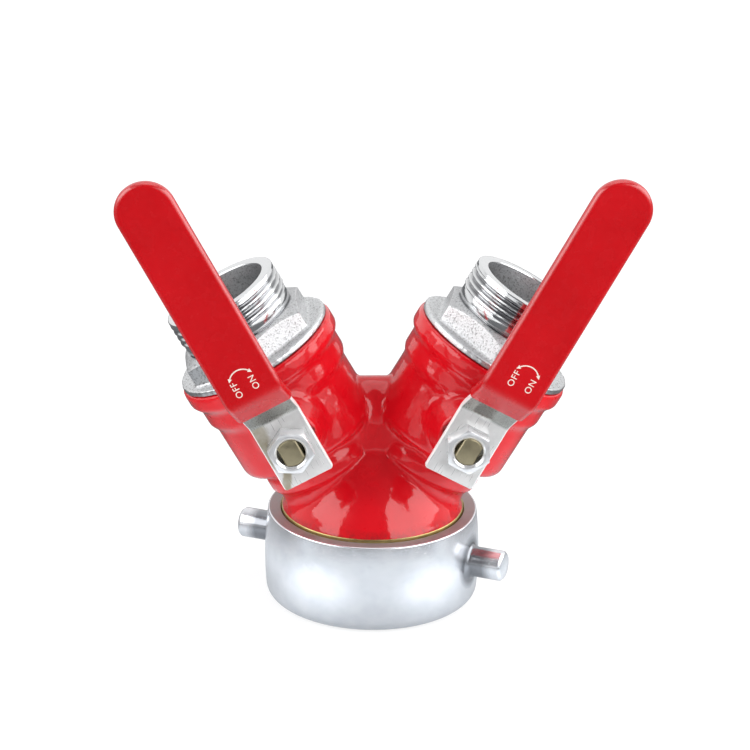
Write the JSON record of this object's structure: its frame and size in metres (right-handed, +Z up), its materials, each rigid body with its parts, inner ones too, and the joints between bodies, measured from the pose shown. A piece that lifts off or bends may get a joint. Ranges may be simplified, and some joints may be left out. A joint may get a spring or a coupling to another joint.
{
  "type": "siamese hose connection",
  "caption": "Gated fire hose wye: red cast body, chromed swivel inlet with spanner lugs, lever ball valves with dipped red grips and chromed threaded outlets.",
  "frame": {"origin": "centre of the swivel ring's bottom face, on the inlet axis", "axes": "+Z up along the inlet axis, +X towards the right branch, levers on the -Y side"},
  "size_m": [0.2142, 0.1124, 0.207],
  "materials": {
    "red_paint": "glossy red enamel over a brass casting",
    "chrome": "bright chrome plate over brass",
    "plated_steel": "nickel plate, finely brushed, tarnished in places",
    "zinc": "bright zinc plate",
    "red_vinyl": "satin dipped vinyl with a small white ON / OFF print",
    "brass": "machined brass, slightly dull",
    "bearing_steel": "polished steel",
    "white_seal": "white PTFE",
    "rubber": "black moulded rubber"
  },
  "bodies": {
    "wye": {"wye_body": "red_paint", "bearing_balls": "bearing_steel", "left_outlet_adapter": "chrome", "left_inlet_seat": "white_seal", "left_outlet_seat": "white_seal", "left_stem_packing": "white_seal", "left_gland_nut": "brass", "left_adapter_o_ring": "rubber", "right_outlet_adapter": "chrome", "right_inlet_seat": "white_seal", "right_outlet_seat": "white_seal", "right_stem_packing": "white_seal", "right_gland_nut": "brass", "right_adapter_o_ring": "rubber"},
    "left_handle": {"left_lever": "plated_steel", "left_grip": "red_vinyl", "left_lever_nut": "zinc", "left_stem": "brass", "left_valve_ball": "chrome", "left_thrust_washer": "white_seal"},
    "right_handle": {"right_lever": "plated_steel", "right_grip": "red_vinyl", "right_lever_nut": "zinc", "right_stem": "brass", "right_valve_ball": "chrome", "right_thrust_washer": "white_seal"},
    "swivel": {"swivel_ring": "chrome", "race_plug": "bearing_steel", "inlet_gasket": "rubber"}
  },
  "joints": [
    {"name": "left_valve", "type": "hinge", "parent": "wye", "child": "left_handle", "pos_m": [-0.0365, 0, 0.08762], "axis": [0, -1, 0], "range_deg": [0, 90]},
    {"name": "right_valve", "type": "hinge", "parent": "wye", "child": "right_handle", "pos_m": [0.0365, 0, 0.08762], "axis": [0, 1, 0], "range_deg": [0, 90]},
    {"name": "inlet_swivel", "type": "hinge", "parent": "wye", "child": "swivel", "pos_m": [0, 0, 0], "axis": [0, 0, 1], "continuous": true}
  ]
}
